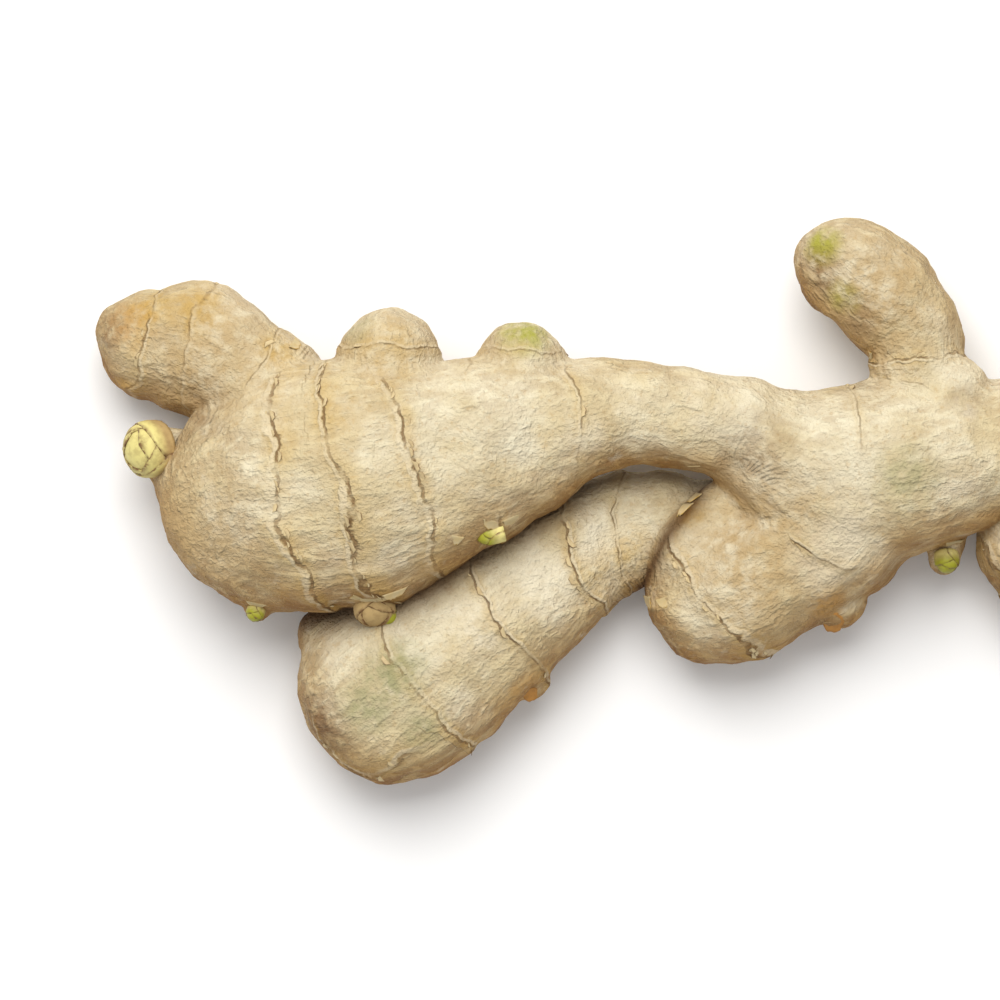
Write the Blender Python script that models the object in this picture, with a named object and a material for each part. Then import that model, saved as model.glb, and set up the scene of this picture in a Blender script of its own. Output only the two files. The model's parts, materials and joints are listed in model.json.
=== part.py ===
"""A ginger root as it lies on a worktop: one grown body of fused limbs, thumbs and buds.

Each limb is a chain of rounded cones from station to station. A geometry-nodes field blends the
chains into one skin, and the worktop trims the undersides that rest on it.
Metres, +Z up. The origin is the middle of the root's box, on the worktop.
"""

import bpy
from mathutils import Vector

MM = 0.001

# Driving dimensions
SKIN_GRID = 1.75 * MM  # spacing of the grid that the skin is drawn through
GRID_MARGIN = 4.0 * MM  # room between the outermost limb and the grid's edge
STATION_BLEND = 1.2 * MM  # how softly one station of a limb runs into the next
FAR_AWAY = 50.0 * MM  # field value that stands for no limb at all
FACETS_KEPT = 0.42  # share of the drawn facets that the finished skin keeps
MIDDLE = Vector((1.2, -0.25, 0.0)) * MM  # middle of the box, in the limbs' own measure

SKIN_COLOUR = (0.66, 0.50, 0.29, 1.0)
SKIN_ROUGHNESS = 0.72

# Each limb: how softly it joins what came before, its height over its width,
# and its stations as (x, y, height of the middle, half width), all in millimetres.
LIMBS = {
    "palm": (2.0, 0.74, [
        (-55.6, 0.5, 15.0, 18.9),
        (-48.6, 2.2, 17.5, 20.4),
        (-41.8, 2.8, 19.3, 19.9),
        (-36.2, 4.5, 20.3, 18.0),
        (-25.0, 7.8, 20.2, 15.0),
        (-19.4, 9.4, 19.6, 13.5),
    ]),
    "arm": (3.0, 1.0, [
        (-25.0, 8.4, 19.5, 13.7),
        (-13.8, 11.6, 18.5, 10.9),
        (-5.8, 13.4, 18.0, 9.4),
        (2.2, 13.8, 17.5, 8.4),
        (10.2, 13.1, 17.0, 8.2),
        (18.4, 11.4, 16.0, 8.3),
    ]),
    "body": (4.0, 0.92, [
        (18.4, 11.2, 16.0, 8.2),
        (26.2, 6.0, 14.5, 11.7),
        (35.8, 4.0, 13.4, 14.6),
        (43.8, 5.1, 13.1, 14.6),
        (51.0, 6.4, 12.9, 13.2),
        (59.8, 8.0, 12.8, 11.5),
        (67.8, 9.6, 13.0, 11.0),
        (75.8, 12.0, 13.5, 9.4),
        (80.3, 13.6, 13.5, 7.5),
    ]),
    "lobe": (2.5, 0.92, [
        (35.8, 3.2, 13.0, 13.6),
        (33.4, -4.0, 12.2, 12.8),
        (25.8, -9.2, 11.4, 11.9),
        (18.6, -14.0, 11.1, 12.2),
        (14.6, -16.6, 11.0, 10.2),
    ]),
    "lobe_shoulder": (1.0, 0.95, [
        (16.6, -2.8, 12.5, 6.2),
        (11.6, -9.4, 11.5, 8.2),
        (13.0, -15.6, 11.0, 9.4),
    ]),
    "finger": (0.4, 0.72, [
        (13.0, -1.6, 8.6, 5.0),
        (6.7, -3.0, 8.7, 7.4),
        (1.0, -4.6, 8.8, 8.9),
        (-5.0, -6.7, 9.0, 10.1),
        (-11.4, -10.0, 9.5, 12.2),
        (-17.6, -14.9, 10.0, 13.3),
        (-24.8, -20.0, 10.6, 14.8),
        (-31.2, -25.4, 11.0, 15.8),
        (-36.9, -30.3, 10.9, 15.6),
        (-43.4, -33.2, 9.8, 8.9),
    ]),
    "finger_shoulder": (2.0, 1.0, [
        (-46.6, -22.4, 9.5, 5.6),
        (-41.0, -24.0, 10.0, 8.0),
    ]),
    "right_thumb": (1.5, 0.96, [
        (47.8, 16.0, 12.5, 8.4),
        (47.0, 24.8, 12.5, 7.3),
        (45.4, 28.8, 12.5, 7.9),
        (41.6, 33.1, 12.5, 8.9),
        (36.8, 37.0, 12.5, 8.3),
        (34.1, 38.8, 12.5, 6.6),
    ]),
    "scar_mound": (1.5, 1.0, [
        (53.0, 17.2, 15.5, 5.8),
        (51.4, 12.4, 15.0, 7.8),
    ]),
    "left_thumb": (1.5, 0.95, [
        (-57.2, 17.6, 13.5, 9.4),
        (-64.6, 22.8, 12.0, 9.9),
        (-69.0, 24.4, 9.9, 10.9),
        (-76.2, 25.1, 9.3, 8.8),
        (-79.2, 26.4, 9.5, 6.1),
    ]),
    "left_knob": (2.0, 0.95, [
        (-38.0, 22.6, 18.5, 8.5),
        (-38.1, 12.8, 19.0, 9.8),
    ]),
    "middle_knob": (2.0, 0.95, [
        (-16.8, 21.4, 18.0, 7.3),
        (-16.8, 12.8, 18.5, 9.0),
    ]),
    "round_bud": (0.5, 1.0, [
        (-76.5, 8.3, 12.0, 4.5),
        (-70.6, 6.1, 13.0, 4.7),
    ]),
    "bud_knee": (2.0, 1.0, [
        (-69.4, 2.9, 13.0, 6.8),
        (-63.4, 0.0, 14.0, 9.8),
    ]),
    "palm_corner_bud": (1.0, 1.0, [
        (-39.6, -17.4, 17.0, 3.2),
        (-39.9, -11.4, 19.0, 6.0),
    ]),
    "palm_edge_bud": (1.0, 1.0, [
        (-59.2, -17.6, 15.2, 2.2),
        (-58.6, -12.5, 15.2, 5.0),
    ]),
    "arm_bud": (1.0, 1.0, [
        (-21.4, -4.4, 16.5, 2.4),
        (-21.8, 0.8, 18.5, 6.0),
    ]),
    "lobe_stub": (1.5, 1.0, [
        (34.1, -16.0, 11.0, 4.6),
        (31.8, -11.2, 11.0, 6.4),
    ]),
    "finger_stub": (1.2, 1.0, [
        (-15.9, -29.8, 9.0, 3.4),
        (-19.6, -25.8, 9.0, 6.2),
    ]),
    "edge_bud": (0.6, 1.0, [
        (51.4, -9.6, 9.5, 2.6),
        (51.8, -5.0, 10.5, 3.8),
    ]),
    "end_finger": (0.6, 0.96, [
        (66.2, 3.2, 11.0, 8.3),
        (65.4, -7.2, 9.5, 8.6),
        (69.8, -14.4, 8.6, 8.3),
        (73.4, -18.9, 8.3, 6.4),
    ]),
}


def clear_scene():
    for old in list(bpy.data.objects):
        bpy.data.objects.remove(old)


def skin_material():
    material = bpy.data.materials.new("ginger_skin")
    material.use_nodes = True
    shader = material.node_tree.nodes["Principled BSDF"]
    shader.inputs["Base Color"].default_value = SKIN_COLOUR
    shader.inputs["Roughness"].default_value = SKIN_ROUGHNESS
    shader.inputs["Metallic"].default_value = 0.0
    material.diffuse_color = SKIN_COLOUR
    return material


def wire(tree, source, target):
    tree.links.new(source, target)


def vector_maths(tree, operation, first, second):
    node = tree.nodes.new("ShaderNodeVectorMath")
    node.operation = operation
    wire(tree, first, node.inputs[0])
    if second is not None:
        wire(tree, second, node.inputs[1])
    return node


def maths(tree, operation, first, second):
    node = tree.nodes.new("ShaderNodeMath")
    node.operation = operation
    wire(tree, first, node.inputs[0])
    wire(tree, second, node.inputs[1])
    return node.outputs[0]


def rounded_cone_group():
    """A node group: how far a point is outside a cone with round ends, squeezed in height."""
    tree = bpy.data.node_groups.new("rounded_cone", "GeometryNodeTree")
    sockets = (
        ("Start", "NodeSocketVector"),
        ("Axis", "NodeSocketVector"),
        ("Start Radius", "NodeSocketFloat"),
        ("End Radius", "NodeSocketFloat"),
        ("Squeeze", "NodeSocketVector"),
    )
    for name, kind in sockets:
        tree.interface.new_socket(name, in_out="INPUT", socket_type=kind)
    tree.interface.new_socket("Distance", in_out="OUTPUT", socket_type="NodeSocketFloat")
    given = tree.nodes.new("NodeGroupInput").outputs
    place = tree.nodes.new("GeometryNodeInputPosition").outputs[0]

    offset = vector_maths(tree, "SUBTRACT", place, given["Start"]).outputs["Vector"]
    along = vector_maths(tree, "DOT_PRODUCT", offset, given["Axis"]).outputs["Value"]
    length = vector_maths(tree, "DOT_PRODUCT", given["Axis"], given["Axis"]).outputs["Value"]
    share = tree.nodes.new("ShaderNodeClamp")
    wire(tree, maths(tree, "DIVIDE", along, length), share.inputs["Value"])
    on_axis = tree.nodes.new("ShaderNodeVectorMath")
    on_axis.operation = "SCALE"
    wire(tree, given["Axis"], on_axis.inputs[0])
    wire(tree, share.outputs[0], on_axis.inputs["Scale"])

    aside = vector_maths(tree, "SUBTRACT", offset, on_axis.outputs["Vector"]).outputs["Vector"]
    squeezed = vector_maths(tree, "MULTIPLY", aside, given["Squeeze"]).outputs["Vector"]
    reach = vector_maths(tree, "LENGTH", squeezed, None).outputs["Value"]
    radius = tree.nodes.new("ShaderNodeMix")
    wire(tree, share.outputs[0], radius.inputs["Factor"])
    wire(tree, given["Start Radius"], radius.inputs["A"])
    wire(tree, given["End Radius"], radius.inputs["B"])
    end = tree.nodes.new("NodeGroupOutput")
    wire(tree, maths(tree, "SUBTRACT", reach, radius.outputs[0]), end.inputs[0])
    return tree


def blended(tree, first, second, softness):
    """The field of two shapes together, rounded where they meet."""
    node = tree.nodes.new("ShaderNodeMath")
    node.operation = "SMOOTH_MIN"
    wire(tree, first, node.inputs[0])
    wire(tree, second, node.inputs[1])
    node.inputs[2].default_value = softness
    return node.outputs[0]


def limb_field(tree, cone, depth, stations):
    """The field of one limb: its cones, blended end to end."""
    field = None
    for start, end in zip(stations, stations[1:]):
        node = tree.nodes.new("GeometryNodeGroup")
        node.node_tree = cone
        first = Vector(start[:3]) * MM - MIDDLE
        last = Vector(end[:3]) * MM - MIDDLE
        node.inputs["Start"].default_value = first
        node.inputs["Axis"].default_value = last - first
        node.inputs["Start Radius"].default_value = start[3] * MM
        node.inputs["End Radius"].default_value = end[3] * MM
        node.inputs["Squeeze"].default_value = (1.0, 1.0, 1.0 / depth)
        distance = node.outputs["Distance"]
        field = distance if field is None else blended(tree, field, distance, STATION_BLEND)
    return field


def grid_box():
    """Lowest and highest corner of the grid, clear of every limb."""
    low = Vector((FAR_AWAY,) * 3)
    high = -low
    for _, _, stations in LIMBS.values():
        for x, y, z, radius in stations:
            middle = Vector((x, y, z)) * MM - MIDDLE
            room = Vector((radius * MM + GRID_MARGIN,) * 3)
            low = Vector(map(min, low, middle - room))
            high = Vector(map(max, high, middle + room))
    return low, high


def skin_tree():
    """The geometry nodes that blend every limb and draw the skin round them."""
    tree = bpy.data.node_groups.new("root_skin", "GeometryNodeTree")
    tree.interface.new_socket("Geometry", in_out="OUTPUT", socket_type="NodeSocketGeometry")
    cone = rounded_cone_group()
    field = None
    for softness, depth, stations in LIMBS.values():
        limb = limb_field(tree, cone, depth, stations)
        field = limb if field is None else blended(tree, field, limb, softness * MM)

    density = tree.nodes.new("ShaderNodeMath")
    density.operation = "MULTIPLY"
    wire(tree, field, density.inputs[0])
    density.inputs[1].default_value = -1.0

    grid = tree.nodes.new("GeometryNodeVolumeCube")
    low, high = grid_box()
    grid.inputs["Background"].default_value = -FAR_AWAY
    grid.inputs["Min"].default_value = low
    grid.inputs["Max"].default_value = high
    for name, side in zip("XYZ", high - low):
        grid.inputs["Resolution " + name].default_value = round(side / SKIN_GRID)
    wire(tree, density.outputs[0], grid.inputs["Density"])

    skin = tree.nodes.new("GeometryNodeVolumeToMesh")
    skin.inputs["Threshold"].default_value = 0.0
    wire(tree, grid.outputs["Volume"], skin.inputs["Volume"])
    end = tree.nodes.new("NodeGroupOutput")
    wire(tree, skin.outputs["Mesh"], end.inputs[0])
    return tree


def worktop_cutter(collection):
    """A block under the worktop's surface, which trims what would sink into it."""
    low, high = grid_box()
    side = 2.0 * (high - low).length
    bpy.ops.mesh.primitive_cube_add(size=side, location=(0.0, 0.0, -side / 2))
    cutter = bpy.context.active_object
    cutter.name = "worktop_cutter"
    cutter.hide_render = True
    cutter.display_type = "WIRE"
    for owner in list(cutter.users_collection):
        owner.objects.unlink(cutter)
    collection.objects.link(cutter)
    return cutter


def ginger_root(collection, cutter):
    root = bpy.data.objects.new("ginger_root", bpy.data.meshes.new("ginger_root"))
    collection.objects.link(root)
    root.data.materials.append(skin_material())
    skin = root.modifiers.new("skin", "NODES")
    skin.node_group = skin_tree()
    fewer = root.modifiers.new("fewer_facets", "DECIMATE")
    fewer.ratio = FACETS_KEPT
    trim = root.modifiers.new("rest_on_worktop", "BOOLEAN")
    trim.operation = "DIFFERENCE"
    trim.object = cutter
    return root


def main():
    clear_scene()
    scene = bpy.context.scene
    ginger = bpy.data.collections.new("ginger")
    helpers = bpy.data.collections.new("helpers")
    scene.collection.children.link(ginger)
    scene.collection.children.link(helpers)
    ginger_root(ginger, worktop_cutter(helpers))


main()
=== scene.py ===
"""The looks of a whole ginger root: its fine skin, growth rings, torn scales and buds, and its table."""

import json
import math

import bpy
import numpy as np
from mathutils import Matrix, Vector

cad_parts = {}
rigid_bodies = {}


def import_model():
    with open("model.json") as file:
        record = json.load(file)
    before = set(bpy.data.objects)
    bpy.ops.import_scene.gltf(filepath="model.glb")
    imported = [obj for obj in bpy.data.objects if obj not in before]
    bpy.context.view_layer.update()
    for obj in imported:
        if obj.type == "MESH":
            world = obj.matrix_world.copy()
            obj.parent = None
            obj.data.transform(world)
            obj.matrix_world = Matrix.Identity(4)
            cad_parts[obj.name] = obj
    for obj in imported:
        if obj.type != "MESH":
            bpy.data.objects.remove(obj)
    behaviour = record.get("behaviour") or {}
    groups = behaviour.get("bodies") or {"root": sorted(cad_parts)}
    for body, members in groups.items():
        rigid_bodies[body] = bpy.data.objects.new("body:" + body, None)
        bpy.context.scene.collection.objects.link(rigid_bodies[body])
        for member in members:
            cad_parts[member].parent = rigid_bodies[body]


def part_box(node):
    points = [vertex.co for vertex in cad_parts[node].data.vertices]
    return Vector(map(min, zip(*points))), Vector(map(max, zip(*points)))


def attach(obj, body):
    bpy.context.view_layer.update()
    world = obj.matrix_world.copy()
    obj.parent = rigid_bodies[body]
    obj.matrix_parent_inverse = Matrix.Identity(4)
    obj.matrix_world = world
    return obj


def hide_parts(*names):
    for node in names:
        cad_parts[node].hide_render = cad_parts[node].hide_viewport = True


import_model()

bl_info = {
    "name": "Ginger Root",
    "version": (1, 0, 0),
    "blender": (4, 5, 0),
    "location": "View3D > Sidebar > Ginger",
    "description": "Grows the fine skin, scales and buds of a ginger root round its packed solid",
    "category": "Add Mesh",
}

MM = 0.001
BODY = "root"
NODE = "ginger_root"
SOLID_LOW, SOLID_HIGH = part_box(NODE)
MIDDLE = np.array((1.2, -0.25, 0.0))  # middle of the root's box, in the limbs' own measure
GRID_MARGIN = 4.0 * MM
STATION_BLEND = 1.2 * MM
CONE_FADE = 1.5  # millimetres over which one cone of a limb hands over to the next
LIMB_FADE = 1.2  # millimetres over which one limb hands over to the next
ABOVE_ALL = 60.0  # millimetres, higher than any part of the root
FAR_AWAY = 50.0 * MM
STRANDS = ("grain_a", "grain_b", "grain_c")  # limbs that touch lie in different strands

# Each limb: how softly it joins what came before, its height over its width, the strand that
# its wrinkles run in (none on a small one), and its stations as (x, y, height of the middle,
# half width). All in millimetres.
LIMBS = {
    "palm": (2.0, 0.74, 0, [
        (-55.6, 0.5, 15.0, 18.9), (-48.6, 2.2, 17.5, 20.4), (-41.8, 2.8, 19.3, 19.9),
        (-36.2, 4.5, 20.3, 18.0), (-25.0, 7.8, 20.2, 15.0), (-19.4, 9.4, 19.6, 13.5),
    ]),
    "arm": (3.0, 1.0, 1, [
        (-25.0, 8.4, 19.5, 13.7), (-13.8, 11.6, 18.5, 10.9), (-5.8, 13.4, 18.0, 9.4),
        (2.2, 13.8, 17.5, 8.4), (10.2, 13.1, 17.0, 8.2), (18.4, 11.4, 16.0, 8.3),
    ]),
    "body": (4.0, 0.92, 0, [
        (18.4, 11.2, 16.0, 8.2), (26.2, 6.0, 14.5, 11.7), (35.8, 4.0, 13.4, 14.6),
        (43.8, 5.1, 13.1, 14.6), (51.0, 6.4, 12.9, 13.2), (59.8, 8.0, 12.8, 11.5),
        (67.8, 9.6, 13.0, 11.0), (75.8, 12.0, 13.5, 9.4), (80.3, 13.6, 13.5, 7.5),
    ]),
    "lobe": (2.5, 0.92, 1, [
        (35.8, 3.2, 13.0, 13.6), (33.4, -4.0, 12.2, 12.8), (25.8, -9.2, 11.4, 11.9),
        (18.6, -14.0, 11.1, 12.2), (14.6, -16.6, 11.0, 10.2),
    ]),
    "lobe_shoulder": (1.0, 0.95, None, [
        (16.6, -2.8, 12.5, 6.2), (11.6, -9.4, 11.5, 8.2), (13.0, -15.6, 11.0, 9.4),
    ]),
    "finger": (0.4, 0.72, 2, [
        (13.0, -1.6, 8.6, 5.0), (6.7, -3.0, 8.7, 7.4), (1.0, -4.6, 8.8, 8.9), (-5.0, -6.7, 9.0, 10.1),
        (-11.4, -10.0, 9.5, 12.2), (-17.6, -14.9, 10.0, 13.3), (-24.8, -20.0, 10.6, 14.8),
        (-31.2, -25.4, 11.0, 15.8), (-36.9, -30.3, 10.9, 15.6), (-43.4, -33.2, 9.8, 8.9),
    ]),
    "finger_shoulder": (2.0, 1.0, None, [
        (-46.6, -22.4, 9.5, 5.6), (-41.0, -24.0, 10.0, 8.0),
    ]),
    "right_thumb": (1.5, 0.96, 1, [
        (47.8, 16.0, 12.5, 8.4), (47.0, 24.8, 12.5, 7.3), (45.4, 28.8, 12.5, 7.9),
        (41.6, 33.1, 12.5, 8.9), (36.8, 37.0, 12.5, 8.3), (34.1, 38.8, 12.5, 6.6),
    ]),
    "scar_mound": (1.5, 1.0, None, [
        (53.0, 17.2, 15.5, 5.8), (51.4, 12.4, 15.0, 7.8),
    ]),
    "left_thumb": (1.5, 0.95, 1, [
        (-57.2, 17.6, 13.5, 9.4), (-64.6, 22.8, 12.0, 9.9), (-69.0, 24.4, 9.9, 10.9),
        (-76.2, 25.1, 9.3, 8.8), (-79.2, 26.4, 9.5, 6.1),
    ]),
    "left_knob": (2.0, 0.95, 2, [
        (-38.0, 22.6, 18.5, 8.5), (-38.1, 12.8, 19.0, 9.8),
    ]),
    "middle_knob": (2.0, 0.95, 2, [
        (-16.8, 21.4, 18.0, 7.3), (-16.8, 12.8, 18.5, 9.0),
    ]),
    "round_bud": (0.5, 1.0, None, [
        (-76.5, 8.3, 12.0, 4.5), (-70.6, 6.1, 13.0, 4.7),
    ]),
    "bud_knee": (2.0, 1.0, None, [
        (-69.4, 2.9, 13.0, 6.8), (-63.4, 0.0, 14.0, 9.8),
    ]),
    "palm_corner_bud": (1.0, 1.0, None, [
        (-39.6, -17.4, 17.0, 3.2), (-39.9, -11.4, 19.0, 6.0),
    ]),
    "palm_edge_bud": (1.0, 1.0, None, [
        (-59.2, -17.6, 15.2, 2.2), (-58.6, -12.5, 15.2, 5.0),
    ]),
    "arm_bud": (1.0, 1.0, None, [
        (-21.4, -4.4, 16.5, 2.4), (-21.8, 0.8, 18.5, 6.0),
    ]),
    "lobe_stub": (1.5, 1.0, None, [
        (34.1, -16.0, 11.0, 4.6), (31.8, -11.2, 11.0, 6.4),
    ]),
    "finger_stub": (1.2, 1.0, None, [
        (-15.9, -29.8, 9.0, 3.4), (-19.6, -25.8, 9.0, 6.2),
    ]),
    "edge_bud": (0.6, 1.0, None, [
        (51.4, -9.6, 9.5, 2.6), (51.8, -5.0, 10.5, 3.8),
    ]),
    "end_finger": (0.6, 0.96, 1, [
        (66.2, 3.2, 11.0, 8.3), (65.4, -7.2, 9.5, 8.6), (69.8, -14.4, 8.6, 8.3), (73.4, -18.9, 8.3, 6.4),
    ]),
}

# Each growth ring: its limb, where it crosses the limb's far and near side as seen from above,
# how far its middle bows towards the limb's end, all in millimetres, how plain it is, and
# whether it runs all round.
RINGS = (
    ("palm", (-55.4, 21.0), (-46.6, -17.1), 0.6, 1.0, True),
    ("palm", (-46.7, 22.2), (-36.8, -14.6), 1.0, 1.0, True),
    ("palm", (-37.1, 24.2), (-30.6, -5.9), 0.5, 1.0, True),
    ("palm", (-26.1, 20.2), (-23.4, -1.6), -0.5, 1.0, True),
    ("arm", (-10.1, 20.0), (-8.0, 6.0), 1.0, 0.7, True),
    ("arm", (19.2, 19.4), (23.2, 12.0), 0.6, 0.9, False),
    ("body", (36.0, 17.9), (37.4, 9.0), 0.4, 0.6, False),
    ("body", (66.0, 19.0), (66.0, -3.0), 1.0, 0.7, True),
    ("body", (75.0, 20.0), (73.5, 2.0), 1.0, 0.8, True),
    ("lobe", (7.5, -4.2), (18.2, -21.9), 1.8, 1.0, True),
    ("lobe", (18.6, 3.5), (22.2, 0.2), 0.3, 0.7, False),
    ("lobe", (27.4, -5.1), (35.4, -11.5), 0.5, 0.9, False),
    ("finger", (-1.4, 2.6), (0.2, -15.8), 1.0, 0.7, True),
    ("finger", (-11.5, -1.8), (-4.2, -17.9), 1.7, 1.0, True),
    ("finger", (-25.9, -13.3), (-19.4, -23.4), 0.8, 0.9, True),
    ("finger", (-39.0, -20.8), (-29.8, -34.7), 0.4, 0.8, True),
    ("finger", (-44.8, -31.8), (-35.7, -40.6), 0.8, 0.9, False),
    ("right_thumb", (40.2, 22.6), (50.7, 23.4), -0.5, 0.9, True),
    ("right_thumb", (39.0, 19.5), (50.4, 16.6), 0.8, 0.8, False),
    ("left_thumb", (-55.0, 25.8), (-62.5, 13.0), -0.8, 0.7, True),
    ("left_thumb", (-66.0, 34.0), (-69.5, 14.5), -0.8, 0.5, True),
    ("left_thumb", (-74.5, 32.5), (-77.0, 19.5), -0.6, 0.7, True),
    ("left_knob", (-46.0, 24.5), (-30.0, 24.5), 0.8, 0.7, True),
    ("middle_knob", (-24.0, 24.0), (-10.0, 24.0), 0.6, 0.6, True),
    ("end_finger", (57.5, -7.5), (74.0, -8.5), 0.6, 0.9, True),
    ("end_finger", (62.0, -15.5), (77.5, -12.5), 0.6, 0.9, True),
)

# What makes a ring wander and break: waves in one turn round the limb, how far each sways the
# ring along the limb, in millimetres, and how much it hides of it.
RING_WAVES = ((2, 0.45, 0.45), (5, 0.28, 0.35), (9, 0.16, 0.30), (17, 0.09, 0.25), (31, 0.05, 0.20))
RING_REACH = 2.4  # how far from a ring its colours show, in millimetres
NO_RING = 99.0  # stands for the distance to a ring where there is none

# Each crook where folds gather: where it is, how far its folds reach, which way they fan out (a
# heading in degrees), the width of one fold, how much they bend, and how plain they are.
FOLDS = (
    (17.4, 0.6, 11.5, 62.0, 0.75, 0.3, 0.8),
    (4.6, -19.0, 15.0, 105.0, 0.9, -0.3, 0.7),
    (35.6, -23.4, 13.0, 150.0, 1.2, 0.3, 0.6),
    (39.4, 25.6, 9.0, 290.0, 0.9, 0.4, 0.5),
    (-68.8, 9.4, 9.0, 50.0, 0.9, -0.4, 0.6),
    (-50.4, 27.6, 8.0, 250.0, 0.9, 0.4, 0.5),
    (-27.4, 27.6, 7.0, 270.0, 0.9, 0.4, 0.4),
)

# Colours of stains, as seen in daylight.
TAN = (0.70, 0.595, 0.42)
LEAF_GREEN = (0.60, 0.60, 0.16)
GOLD = (0.74, 0.60, 0.30)
RUST = (0.70, 0.50, 0.20)
BROWN = (0.44, 0.31, 0.18)
MOSS = (0.62, 0.60, 0.44)
BONE = (0.88, 0.84, 0.74)

# Each stain: where it is, its radius, all in millimetres, its colour and how strong it is.
STAINS = (
    (22.0, -9.0, 13.0, TAN, 0.72),
    (41.0, 33.0, 11.0, TAN, 0.72),
    (-68.0, 24.0, 11.0, TAN, 0.68),
    (-68.0, -6.0, 9.0, TAN, 0.60),
    (-38.0, 26.0, 7.0, TAN, 0.35),
    (-80.0, 29.0, 4.0, RUST, 0.50),
    (-84.0, 27.0, 3.0, BROWN, 0.60),
    (-69.0, 32.0, 4.5, GOLD, 0.60),
    (-76.5, 32.0, 3.5, GOLD, 0.70),
    (-69.5, 14.5, 5.0, BROWN, 0.45),
    (-44.2, 28.8, 3.4, MOSS, 0.60),
    (-16.2, 28.2, 4.2, LEAF_GREEN, 0.75),
    (31.0, 41.6, 3.0, LEAF_GREEN, 0.85),
    (34.2, 32.2, 2.6, LEAF_GREEN, 0.60),
    (30.4, 37.4, 3.2, BROWN, 0.50),
    (36.4, 28.6, 3.4, BROWN, 0.60),
    (20.0, 8.0, 6.0, BROWN, 0.35),
    (9.6, -1.6, 2.4, GOLD, 0.80),
    (0.4, -8.4, 4.0, GOLD, 0.50),
    (-4.6, -12.4, 3.4, GOLD, 0.35),
    (-37.0, -28.0, 4.5, MOSS, 0.85),
    (-41.5, -33.5, 4.0, MOSS, 0.70),
    (-32.5, -37.5, 3.5, MOSS, 0.60),
    (-24.0, -20.0, 5.0, BONE, 0.60),
    (-14.0, -14.0, 5.0, BONE, 0.60),
    (-4.0, -6.0, 4.0, BONE, 0.60),
    (-6.8, 10.0, 3.0, BONE, 0.50),
    (30.6, 34.0, 2.2, BROWN, 0.70),
    (28.8, 38.6, 2.2, BROWN, 0.60),
    (44.8, 3.4, 4.6, MOSS, 0.50),
    (32.0, -9.6, 5.0, BONE, 0.60),
    (36.0, -4.6, 4.0, BONE, 0.45),
    (14.0, 17.0, 6.0, BONE, 0.35),
    (33.0, -18.6, 3.0, RUST, 0.90),
    (-15.2, -31.2, 2.6, RUST, 0.70),
    (-50.0, -37.6, 5.0, BROWN, 0.70),
    (-46.6, 15.0, 5.0, GOLD, 0.30),
    (-55.0, 24.6, 3.4, GOLD, 0.60),
    (-38.4, 24.0, 5.0, GOLD, 0.35),
    (54.2, 16.4, 2.8, BROWN, 0.40),
    (53.8, 15.0, 2.2, BONE, 0.60),
    (69.0, -14.0, 12.0, BROWN, 0.75),
)


def seen(colour):
    """A daylight colour as the renderer's linear values."""
    return tuple(c / 12.92 if c <= 0.04045 else ((c + 0.055) / 1.055) ** 2.4 for c in colour)


# ---------------------------------------------------------------- node helpers

def node(tree, kind, settings=(), links=(), values=()):
    """Adds a node: its properties, then what feeds its sockets, then their fixed values."""
    made = tree.nodes.new(kind)
    for name, value in dict(settings).items():
        setattr(made, name, value)
    for socket, source in dict(links).items():
        tree.links.new(source, made.inputs[socket])
    for socket, value in dict(values).items():
        made.inputs[socket].default_value = value
    return made


def feed(tree, socket, given):
    """Links a socket to the one that feeds it, or else gives it a fixed value."""
    if isinstance(given, bpy.types.NodeSocket):
        tree.links.new(given, socket)
    elif given is not None:
        socket.default_value = given


def maths(tree, operation, first, second=None, third=None):
    made = tree.nodes.new("ShaderNodeMath")
    made.operation = operation
    for socket, given in zip(made.inputs, (first, second, third)):
        feed(tree, socket, given)
    return made.outputs[0]


def times(tree, first, second):
    return maths(tree, "MULTIPLY", first, second)


def plus(tree, first, second):
    return maths(tree, "ADD", first, second)


def minus(tree, first, second):
    return maths(tree, "SUBTRACT", first, second)


def vector_maths(tree, operation, first, second=None):
    made = tree.nodes.new("ShaderNodeVectorMath")
    made.operation = operation
    for socket, given in zip(made.inputs, (first, second)):
        feed(tree, socket, given)
    return made


def add_sockets(tree, inputs, outputs):
    for name, kind in inputs:
        tree.interface.new_socket(name, in_out="INPUT", socket_type="NodeSocket" + kind)
    for name, kind in outputs:
        tree.interface.new_socket(name, in_out="OUTPUT", socket_type="NodeSocket" + kind)


def set_inputs(modifier, values):
    """Sets a node modifier's inputs by name, through each socket's identifier."""
    for item in modifier.node_group.interface.items_tree:
        if item.item_type == "SOCKET" and item.in_out == "INPUT" and item.name in values:
            modifier[item.identifier] = values[item.name]


def plain_mesh(owner, name):
    """The evaluated object as a plain mesh."""
    graph = bpy.context.evaluated_depsgraph_get()
    mesh = bpy.data.meshes.new_from_object(owner.evaluated_get(graph))
    mesh.name = name
    return mesh


def new_object(name, mesh):
    made = bpy.data.objects.new(name, mesh)
    bpy.context.scene.collection.objects.link(made)
    return made


def finish_piece(piece):
    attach(piece, BODY)


# ---------------------------------------------------------------- the skin's shape

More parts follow.
